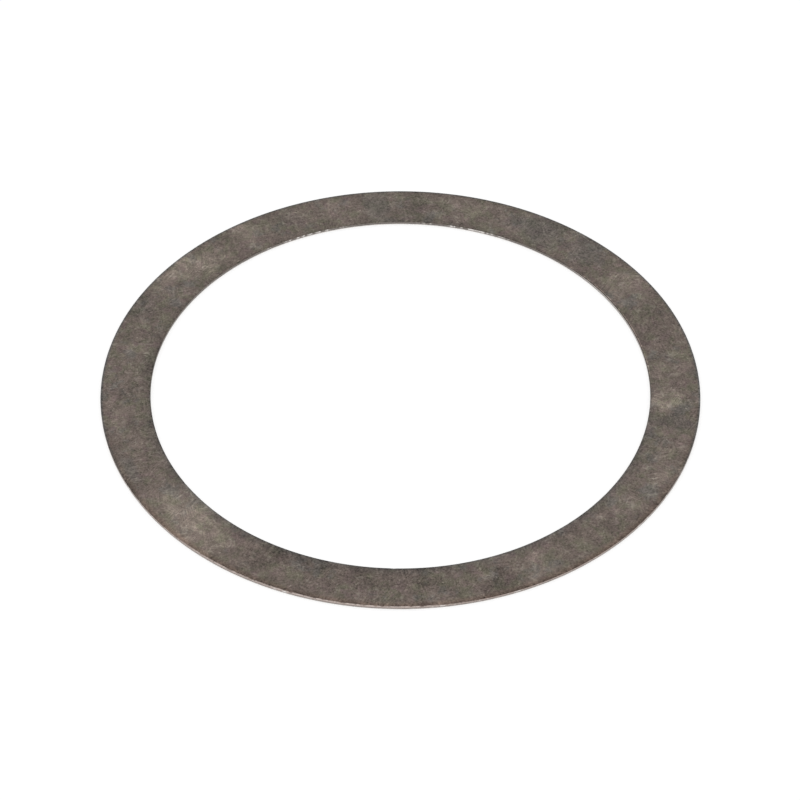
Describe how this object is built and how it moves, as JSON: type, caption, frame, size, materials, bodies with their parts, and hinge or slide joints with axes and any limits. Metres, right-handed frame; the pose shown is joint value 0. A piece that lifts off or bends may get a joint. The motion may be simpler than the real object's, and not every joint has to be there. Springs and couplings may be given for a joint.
{
  "type": "shim ring",
  "caption": "Thin flat steel ring with a wide round bore, slipped over a shaft to take up end play between two faces.",
  "frame": {"origin": "centre of the bore on the lower face, the face that the ring rests on", "axes": "+Z along the bore's axis, towards the face on the roll-over side; +X and +Y lie in the plane of the ring and are alike"},
  "size_m": [0.18, 0.18, 0.001],
  "materials": {
    "strip_steel": "hardened strip steel, dull mottled grey-brown faces, brighter sheared edges"
  },
  "bodies": {
    "root": {"shim_ring": "strip_steel"}
  },
  "joints": []
}
